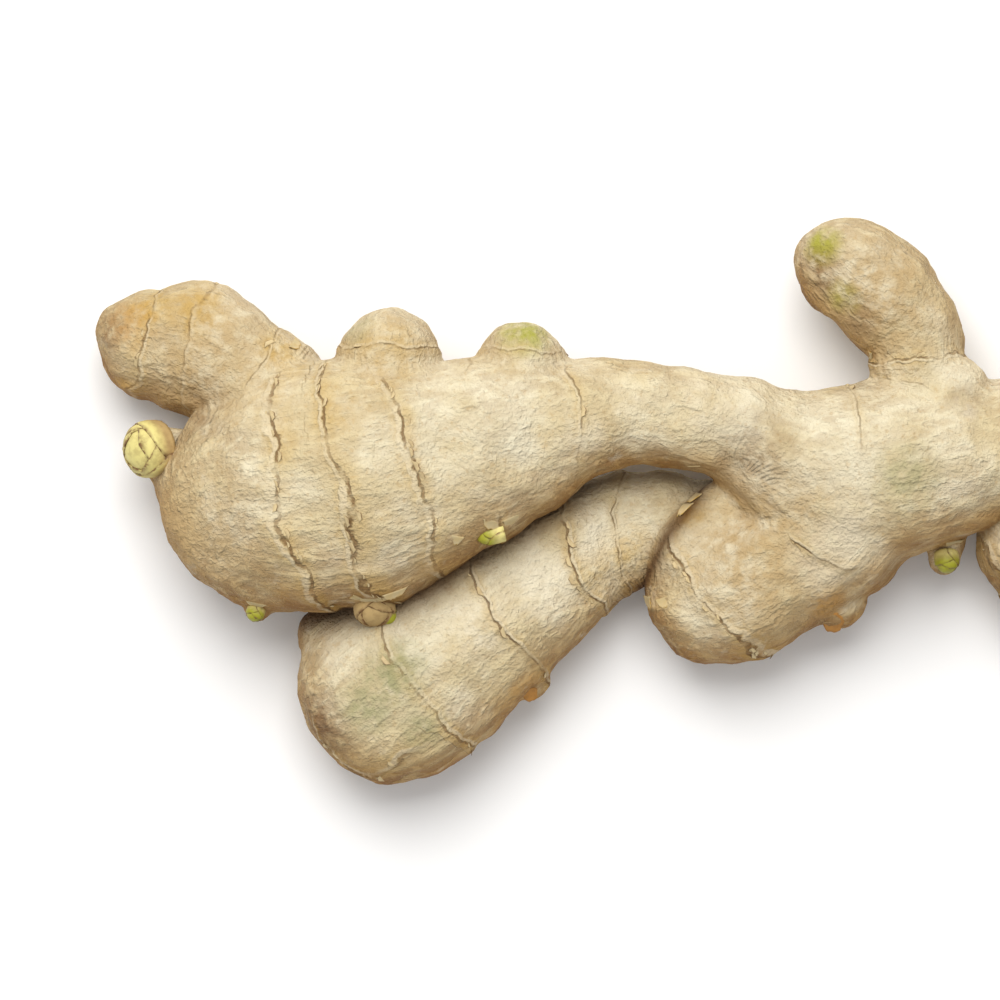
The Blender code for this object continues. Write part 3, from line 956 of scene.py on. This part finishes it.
def bud_core(width, length, rings=8, around=20):
    """The closed heart of a bud, so that none shows hollow between its leaves."""

    def spot(ring, turn):
        angle = math.pi * ring / rings
        along = -0.3 + 0.62 * (1.0 - math.cos(angle))
        reach = width * math.sin(angle)
        return (reach * math.cos(turn), reach * math.sin(turn), along * length), (ring / rings, 0.2)

    low, high = (-0.3 * length, (0.0, 0.0)), (0.94 * length, (1.0, 0.4))
    return closed_lathe(low, range(1, rings), high, around, spot)


def turned(shell, matrix):
    points, faces, marks = shell
    return [matrix @ point for point in points], faces, marks


def placed(x, y, z, heading, rise):
    """A frame at a place in the limbs' own measure, its +Z along a heading and a rise in degrees."""
    spot = Vector((np.array((x, y, z)) - MIDDLE) * MM)
    flat = math.cos(math.radians(rise))
    way = Vector((flat * math.cos(math.radians(heading)), flat * math.sin(math.radians(heading)),
                  math.sin(math.radians(rise))))
    return Matrix.Translation(spot) @ way.to_track_quat("Z", "Y").to_matrix().to_4x4()


def over_skin(skin, x, y):
    """The skin straight below a place in plan (own measure, millimetres), and the way out of it."""
    spot = (np.array((x, y, ABOVE_ALL)) - MIDDLE) * MM
    found, place, outward, _ = skin.ray_cast(Vector(spot), Vector((0.0, 0.0, -1.0)))
    return (place, outward) if found else (None, None)


# Each bud: where it sits (x, y, height, in millimetres), which way it points (heading and rise in
# degrees), its half width and length in millimetres, how many scale leaves wrap it, and its finish.
BUDS = {
    "round_bud": ((-76.0, 8.2, 12.4), 186.0, 40.0, 4.4, 4.4, 8, "husk"),
    "under_palm_bud": ((-20.8, -5.2, 18.0), 194.0, 4.0, 1.6, 3.6, 4, "green"),
    "palm_corner_bud": ((-40.2, -17.0, 17.8), 276.0, 36.0, 3.2, 3.2, 6, "scaly"),
    "palm_corner_shoot": ((-38.2, -18.2, 19.0), 310.0, 40.0, 1.5, 2.0, 3, "green"),
    "palm_edge_bud": ((-59.2, -17.8, 16.4), 250.0, 30.0, 1.4, 1.8, 4, "green"),
    "body_edge_bud": ((51.5, -9.4, 11.0), 272.0, 26.0, 1.9, 2.6, 4, "green"),
}


def build_buds(skin, settings):
    finishes = {
        "green": scale_material("bud_green", settings.bud_base, settings.bud_green, BROWN, 0.5),
        "husk": scale_material("bud_husk", settings.bud_husk, settings.bud_base, BROWN, 0.62),
        "scaly": scale_material("bud_scaly", settings.bud_husk, settings.bud_husk, BROWN, 0.75),
    }
    made = []
    for index, (name, (spot, heading, rise, width, length, leaves, finish)) in enumerate(BUDS.items()):
        dice = np.random.default_rng(settings.seed + index)
        shells = [bud_core(0.88 * width * MM, length * MM)]
        for leaf in range(leaves):
            level = leaf / leaves
            turn = leaf * 2.4 + dice.uniform(-0.3, 0.3)
            shells.append(bud_leaf(
                turn, dice.uniform(1.35, 1.75), -0.35, 0.55 + 0.45 * level,
                width * MM * (1.0 - 0.10 * level), length * MM, 0.16 * MM))
        top, _ = over_skin(skin, *spot[:2])
        height = spot[2] if top is None else max(spot[2], top.z / MM - 0.4)
        frame_of_bud = placed(*spot[:2], height, heading, rise)
        bud = new_object(name, joined_mesh(name, [turned(shell, frame_of_bud) for shell in shells]))
        bud.data.materials.append(finishes[finish])
        finish_piece(bud)
        made.append(bud)
    return made


# Each large torn scale: where it is rooted, which way it points as seen from above (a heading in
# degrees), how far it lifts off the skin (degrees), and its length and width in millimetres.
LARGE_SCALES = (
    (-18.4, -3.0, 296.0, 4.0, 3.2, 3.4),
    (-21.2, -3.6, 262.0, 6.0, 1.9, 4.4),
    (-27.2, -6.0, 258.0, 6.0, 2.0, 3.0),
    (-36.8, -14.8, 290.0, 4.0, 1.6, 4.6),
    (-42.2, -15.8, 250.0, 4.0, 1.8, 4.4),
    (-40.0, -15.8, 274.0, 10.0, 1.8, 5.4),
    (-59.0, -16.6, 258.0, 6.0, 1.6, 3.6),
    (16.6, 20.0, 40.0, 8.0, 2.4, 4.6),
    (10.9, 5.4, 272.0, -14.0, 3.6, 2.4),
    (11.4, 0.8, 262.0, 4.0, 2.6, 2.6),
    (9.8, -0.8, 275.0, 4.0, 3.0, 2.4),
    (3.4, -15.8, 262.0, 8.0, 2.2, 3.6),
    (5.8, -16.0, 290.0, 8.0, 2.0, 2.8),
    (1.2, -15.2, 235.0, 6.0, 1.8, 2.6),
    (-53.0, 25.0, 330.0, 8.0, 1.6, 4.2),
    (39.2, 22.8, 190.0, 8.0, 1.6, 3.6),
    (52.6, -6.8, 275.0, 10.0, 2.0, 3.8),
    (-74.4, 7.6, 250.0, 12.0, 1.8, 3.8),
)

# Each stub where a shoot was cut: the middle of the cut, its heading and rise in degrees, and its
# half width and half height in millimetres.
CUT_STUBS = (
    ((33.3, -19.4, 12.6), 264.0, 38.0, 2.9, 1.9),
    ((-15.4, -31.0, 11.6), 292.0, 46.0, 1.7, 1.4),
)


def build_large_scales(skin, settings):
    """The large torn scales that stand on the rings and round the buds."""
    dice = np.random.default_rng(settings.seed)
    shells = []
    for x, y, heading, lift, length, width in LARGE_SCALES:
        place, outward = over_skin(skin, x, y)
        if place is None:
            continue
        turn = math.radians(heading)
        way = Vector((math.cos(turn), math.sin(turn), 0.0))
        way = (way - way.dot(outward) * outward).normalized()
        way = (way * math.cos(math.radians(lift)) + outward * math.sin(math.radians(lift))).normalized()
        beside = outward.cross(way).normalized()
        basis = Matrix((way, beside, way.cross(beside))).transposed().to_4x4()
        sheet = torn_scale(dice, length * MM, width * MM, dice.uniform(-0.35, 0.0), 0.16 * MM, 6, 12)
        shells.append(turned(sheet, Matrix.Translation(place - way * 0.4 * MM) @ basis))
    scales = new_object("large_scales", joined_mesh("large_scales", shells))
    scales.data.materials.append(
        scale_material("large_scale", settings.large_colour, settings.colour, GOLD, 0.8))
    keep_in_box(scales.data)
    finish_piece(scales)
    return scales


def stub_face(width, height, rings=6, around=28):
    """A shallow dish with a ragged rim, closed at the back, facing +Z."""

    def spot(ring, turn):
        out = ring / rings
        dish = 0.25 + 0.45 * out ** 3 if ring < rings else -0.6
        ragged = out * (1.0 + 0.05 * math.sin(5.0 * turn) + 0.04 * math.sin(9.0 * turn + 1.0))
        point = (height * ragged * math.cos(turn), width * ragged * math.sin(turn), dish)
        return Vector(point) * MM, (out, out ** 4)

    back, front = (-1.2 * MM, (0.0, 1.0)), (0.25 * MM, (0.0, 0.0))
    return closed_lathe(back, range(rings, 0, -1), front, around, spot)


def build_stubs(settings):
    """The dry rust-coloured faces where two shoots were cut away."""
    shells = [turned(stub_face(width, height), placed(*spot, heading, rise))
              for spot, heading, rise, width, height in CUT_STUBS]
    stubs = new_object("cut_stubs", joined_mesh("cut_stubs", shells))
    stubs.data.materials.append(scale_material("cut_stub", settings.stub, settings.stub, BROWN, 0.85))
    finish_piece(stubs)
    return stubs


def flake_tree():
    """Geometry nodes that root torn scales along the growth rings."""
    tree = bpy.data.node_groups.new("ring_scales", "GeometryNodeTree")
    add_sockets(
        tree,
        (("Geometry", "Geometry"), ("Scraps", "Collection"), ("Density", "Float"), ("Band", "Float"),
         ("Smallest", "Float"), ("Largest", "Float"), ("Seed", "Int"), ("Material", "Material")),
        (("Geometry", "Geometry"),),
    )
    given = tree.nodes.new("NodeGroupInput").outputs

    def marked(name, kind="FLOAT"):
        return node(tree, "GeometryNodeInputNamedAttribute", {"data_type": kind},
                    values={"Name": name}).outputs["Attribute"]

    def dice(low, high, offset, kind="FLOAT"):
        made = node(tree, "FunctionNodeRandomValue", {"data_type": kind},
                    {"Seed": plus(tree, given["Seed"], float(offset))})
        sockets = [s for s in made.inputs if s.enabled and s.name in ("Min", "Max")]
        for socket, value in zip(sockets, (low, high)):
            feed(tree, socket, value)
        return next(s for s in made.outputs if s.enabled)

    near = maths(tree, "LESS_THAN", maths(tree, "ABSOLUTE", marked("ring_gap")), given["Band"])
    wanted = times(tree, times(tree, near, marked("ring_shown")), given["Density"])
    spread = node(tree, "GeometryNodeDistributePointsOnFaces",
                  links={"Mesh": given["Geometry"], "Density": wanted, "Seed": given["Seed"]})
    facing = node(tree, "FunctionNodeAxesToRotation", {"primary_axis": "Z", "secondary_axis": "X"},
                  {"Primary Axis": spread.outputs["Normal"],
                   "Secondary Axis": marked("along", "FLOAT_VECTOR")})
    jog = dice((-0.1, -0.35, -0.35), (0.1, -0.02, 0.35), 1, "FLOAT_VECTOR")
    turned_more = node(tree, "FunctionNodeRotateRotation", {"rotation_space": "LOCAL"},
                       {"Rotation": facing.outputs[0], "Rotate By": jog})
    scraps = node(tree, "GeometryNodeCollectionInfo", links={"Collection": given["Scraps"]},
                  values={"Separate Children": True, "Reset Children": True})
    rooted = node(tree, "GeometryNodeInstanceOnPoints",
                  links={"Points": spread.outputs["Points"], "Instance": scraps.outputs[0],
                         "Rotation": turned_more.outputs[0],
                         "Scale": dice(given["Smallest"], given["Largest"], 2)},
                  values={"Pick Instance": True})
    whole = node(tree, "GeometryNodeRealizeInstances", links={"Geometry": rooted.outputs[0]})
    coated = node(tree, "GeometryNodeSetMaterial",
                  links={"Geometry": whole.outputs[0], "Material": given["Material"]})
    node(tree, "NodeGroupOutput", links={0: coated.outputs[0]})
    return tree


def build_ring_scales(skin, settings):
    """Dry scraps of leaf sheath, rooted along the growth rings."""
    scraps = bpy.data.collections.new("scraps")
    dice = np.random.default_rng(settings.seed)
    for index in range(5):
        shell = torn_scale(dice, 0.8 * MM, 2.0 * MM, dice.uniform(0.0, 0.25), 0.07 * MM)
        scraps.objects.link(bpy.data.objects.new(f"scrap_{index}", joined_mesh("scrap", [shell])))
    scales = new_object("ring_scales", skin.data.copy())
    scatter = scales.modifiers.new("scatter", "NODES")
    scatter.node_group = flake_tree()
    set_inputs(scatter, {
        "Scraps": scraps,
        "Density": settings.density,
        "Band": settings.band / MM,
        "Smallest": settings.smallest,
        "Largest": settings.largest,
        "Seed": settings.seed,
        "Material": scale_material("torn_scale", settings.colour, settings.colour, BROWN, 0.8),
    })
    finished = plain_mesh(scales, "ring_scales")
    scales.modifiers.clear()
    scales.data = finished
    keep_in_box(finished)
    for scrap in list(scraps.objects):
        bpy.data.objects.remove(scrap)
    finish_piece(scales)
    return scales


def keep_in_box(mesh):
    """Holds a small piece inside the solid's box."""
    points = np.clip(positions(mesh), np.array(SOLID_LOW), np.array(SOLID_HIGH))
    mesh.vertices.foreach_set("co", points.astype(np.float32).ravel())
    mesh.update()


# ---------------------------------------------------------------- the table, the light and the camera

def build_stage(settings):
    table = new_object("table", bpy.data.meshes.new("table"))
    half = settings.table_side / 2.0
    table.data.from_pydata(
        [(-half, -half, 0.0), (half, -half, 0.0), (half, half, 0.0), (-half, half, 0.0)],
        [], [(0, 1, 2, 3)])
    material, tree, shader = new_material("table_white", settings.table_colour)
    faint = mixed(tree, between(tree, noise_value(tree, 0.4), 0.3, 0.7), seen(settings.table_colour),
                  tuple(0.99 * value for value in seen(settings.table_colour)))
    tree.links.new(faint, shader.inputs["Base Color"])
    shader.inputs["Roughness"].default_value = 0.9
    shader.inputs["Specular IOR Level"].default_value = 0.1
    table.data.materials.append(material)

    scene = bpy.context.scene
    world = bpy.data.worlds.new("studio")
    world.use_nodes = True
    world.node_tree.nodes["Background"].inputs["Color"].default_value = (*seen(settings.sky_colour), 1.0)
    world.node_tree.nodes["Background"].inputs["Strength"].default_value = settings.sky_strength
    scene.world = world
    middle = Vector((*settings.view_middle, 0.0))
    offset = Vector(settings.key_offset)
    lamp = bpy.data.lights.new("key_light", "AREA")
    lamp.shape = "SQUARE"
    lamp.size = settings.key_side
    lamp.energy = settings.key_power
    lamp.color = settings.key_colour
    light = bpy.data.objects.new("key_light", lamp)
    light.location = middle + offset
    light.rotation_euler = (-offset).to_track_quat("-Z", "Y").to_euler()
    scene.collection.objects.link(light)

    lens = bpy.data.cameras.new("camera")
    lens.sensor_width = 36.0
    lens.lens = lens.sensor_width * (settings.camera_height - settings.focus_height) / settings.view_width
    lens.clip_end = 10.0
    camera = bpy.data.objects.new("camera", lens)
    camera.location = middle + Vector((0.0, 0.0, settings.camera_height))
    scene.collection.objects.link(camera)
    scene.camera = camera
    scene.view_settings.view_transform = "Standard"
    return table


# ---------------------------------------------------------------- the add-on

def length_setting(name, description, default, **more):
    return bpy.props.FloatProperty(
        name=name, description=description, default=default, unit="LENGTH", subtype="DISTANCE",
        precision=5, **more)


def colour_setting(name, description, default):
    return bpy.props.FloatVectorProperty(
        name=name, description=description, default=default, subtype="COLOR_GAMMA", size=3,
        min=0.0, max=1.0)


class GingerSkinSettings(bpy.types.PropertyGroup):
    grid_spacing: length_setting(
        "Grid Spacing", "Spacing of the grid that the skin is drawn through", 0.60 * MM)
    lump_size: length_setting("Lump Size", "Distance from one broad lump to the next", 12.0 * MM)
    lump_height: length_setting("Lump Height", "How far broad lumps stand out", 2.6 * MM)
    dimple_size: length_setting("Dimple Size", "Distance from one dimple to the next", 4.2 * MM)
    dimple_height: length_setting("Dimple Height", "How deep the dimples are", 1.0 * MM)
    wrinkle_width: length_setting("Wrinkle Width", "Width of the folds along the limbs", 2.2 * MM)
    wrinkle_height: length_setting("Wrinkle Height", "Height of the folds along the limbs", 0.38 * MM)
    ring_height: length_setting("Ring Height", "Height of the step at each growth ring", 0.5 * MM)
    fold_width: length_setting("Fold Width", "Width of the shaded folds along the limbs", 2.1 * MM)
    crease_width: length_setting("Crease Width", "Width of the finest creases", 0.8 * MM)
    crease_depth: length_setting("Crease Depth", "Depth of the shaded folds and creases", 1.5 * MM)
    roughness: bpy.props.FloatProperty(
        name="Roughness", description="How matt the skin is", default=0.74, subtype="FACTOR",
        min=0.0, max=1.0)
    pale: colour_setting("Pale Skin", "Colour of the driest skin", (0.860, 0.822, 0.712))
    tan: colour_setting("Tan Skin", "Colour of ordinary skin", (0.795, 0.730, 0.578))
    ochre: colour_setting("Ochre Skin", "Colour of the flanks", (0.680, 0.540, 0.330))
    dark: colour_setting("Dark Skin", "Colour of ring edges", (0.400, 0.270, 0.130))
    # Painted shade: the warm tint that the flanks multiply the skin's colour by.
    warm_flank_shade: colour_setting("Warm Flank Shade", "What the flanks multiply the skin's colour by", (0.96, 0.88, 0.72))
    shade: colour_setting(
        "Shade", "What crevices and wrinkles multiply the skin's colour by", (0.62, 0.47, 0.29))
    seed: bpy.props.IntProperty(name="Seed", description="Which root this is", default=7, min=0)


class GingerScaleSettings(bpy.types.PropertyGroup):
    density: bpy.props.FloatProperty(
        name="Density", description="Torn scales per square metre of ring", default=2.2e5, min=0.0)
    band: length_setting("Band", "Half width of the band that the scales root in", 0.35 * MM)
    smallest: bpy.props.FloatProperty(
        name="Smallest", description="Size of the smallest scale", default=0.35, subtype="FACTOR", min=0.0)
    largest: bpy.props.FloatProperty(
        name="Largest", description="Size of the largest scale", default=1.2, subtype="FACTOR", min=0.0)
    colour: colour_setting("Colour", "Colour of the dry scales", (0.79, 0.71, 0.54))
    large_colour: colour_setting("Large Colour", "Colour of the large scales", (0.73, 0.66, 0.50))
    stub: colour_setting("Stub Colour", "Colour of a cut stub", (0.70, 0.50, 0.25))
    seed: bpy.props.IntProperty(name="Seed", description="Where the scales are", default=3, min=0)


class GingerBudSettings(bpy.types.PropertyGroup):
    bud_base: colour_setting("Bud Base", "Colour of a bud's base", (0.84, 0.79, 0.50))
    bud_green: colour_setting("Bud Green", "Colour of a bud's tip", (0.62, 0.62, 0.15))
    bud_husk: colour_setting("Bud Husk", "Colour of a dry bud's scales", (0.72, 0.61, 0.41))
    seed: bpy.props.IntProperty(name="Seed", description="How the scale leaves lie", default=11, min=0)


class GingerStageSettings(bpy.types.PropertyGroup):
    table_side: length_setting("Table Side", "Side of the square table", 6.0)
    table_colour: colour_setting("Table Colour", "Colour of the table", (0.95, 0.95, 0.95))
    sky_colour: colour_setting("Sky Colour", "Colour of the light all round", (1.0, 1.0, 1.0))
    sky_strength: bpy.props.FloatProperty(
        name="Sky Strength", description="Strength of the light all round", default=0.60, min=0.0)
    key_offset: bpy.props.FloatVectorProperty(
        name="Key Offset", description="From the middle of the view to the key light",
        default=(-0.12, 0.62, 0.98), size=3, subtype="TRANSLATION", unit="LENGTH")
    key_side: length_setting("Key Side", "Side of the square key light", 0.9)
    key_power: bpy.props.FloatProperty(
        name="Key Power", description="Power of the key light in watts", default=15.0, min=0.0)
    key_colour: bpy.props.FloatVectorProperty(
        name="Key Colour", description="Colour of the key light", default=(1.0, 0.985, 0.96),
        subtype="COLOR", size=3, min=0.0, max=1.0)
    view_middle: bpy.props.FloatVectorProperty(
        name="View Middle", description="Where the camera looks, in plan",
        default=(-21.36 * MM, 0.25 * MM), size=2, subtype="TRANSLATION", unit="LENGTH")
    view_width: length_setting("View Width", "Width of the view", 160.0 * MM)
    camera_height: length_setting("Camera Height", "Height of the camera above the table", 1.2)
    focus_height: length_setting("Focus Height", "Height at which the view is its stated width", 15.0 * MM)


class GINGER_OT_skin(bpy.types.Operator):
    """Grow the root's skin"""
    bl_idname = "ginger.skin"
    bl_label = "Skin"

    def execute(self, context):
        build_skin(context.scene.ginger_skin)
        return {"FINISHED"}


class GINGER_OT_ring_scales(bpy.types.Operator):
    """Root torn scales along the growth rings"""
    bl_idname = "ginger.ring_scales"
    bl_label = "Ring Scales"

    def execute(self, context):
        build_ring_scales(bpy.data.objects["skin"], context.scene.ginger_scales)
        build_large_scales(bpy.data.objects["skin"], context.scene.ginger_scales)
        build_stubs(context.scene.ginger_scales)
        return {"FINISHED"}


class GINGER_OT_buds(bpy.types.Operator):
    """Wrap the buds in their scale leaves"""
    bl_idname = "ginger.buds"
    bl_label = "Buds"

    def execute(self, context):
        build_buds(bpy.data.objects["skin"], context.scene.ginger_buds)
        return {"FINISHED"}


class GINGER_OT_stage(bpy.types.Operator):
    """Lay the table, hang the light and set the camera"""
    bl_idname = "ginger.stage"
    bl_label = "Stage"

    def execute(self, context):
        build_stage(context.scene.ginger_stage)
        return {"FINISHED"}


class GINGER_PT_sidebar(bpy.types.Panel):
    """The root's pieces, in the order they are built"""
    bl_idname = "GINGER_PT_sidebar"
    bl_label = "Ginger Root"
    bl_space_type = "VIEW_3D"
    bl_region_type = "UI"
    bl_category = "Ginger"

    def draw(self, context):
        for operator, settings in STEPS:
            box = self.layout.box()
            box.operator(operator.bl_idname)
            group = getattr(context.scene, settings)
            for name in group.bl_rna.properties.keys():
                if name not in ("rna_type", "name"):
                    box.prop(group, name)


SETTINGS = {
    "ginger_skin": GingerSkinSettings,
    "ginger_scales": GingerScaleSettings,
    "ginger_buds": GingerBudSettings,
    "ginger_stage": GingerStageSettings,
}
STEPS = (
    (GINGER_OT_skin, "ginger_skin"),
    (GINGER_OT_ring_scales, "ginger_scales"),
    (GINGER_OT_buds, "ginger_buds"),
    (GINGER_OT_stage, "ginger_stage"),
)
CLASSES = (*SETTINGS.values(), *(operator for operator, _ in STEPS), GINGER_PT_sidebar)


def register():
    for each in CLASSES:
        bpy.utils.register_class(each)
    for name, group in SETTINGS.items():
        setattr(bpy.types.Scene, name, bpy.props.PointerProperty(type=group))


def unregister():
    for name in SETTINGS:
        delattr(bpy.types.Scene, name)
    for each in reversed(CLASSES):
        bpy.utils.unregister_class(each)


def main():
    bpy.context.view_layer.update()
    register()
    bpy.ops.ginger.skin()
    bpy.ops.ginger.ring_scales()
    bpy.ops.ginger.buds()
    bpy.ops.ginger.stage()


if __name__ == "__main__":
    main()
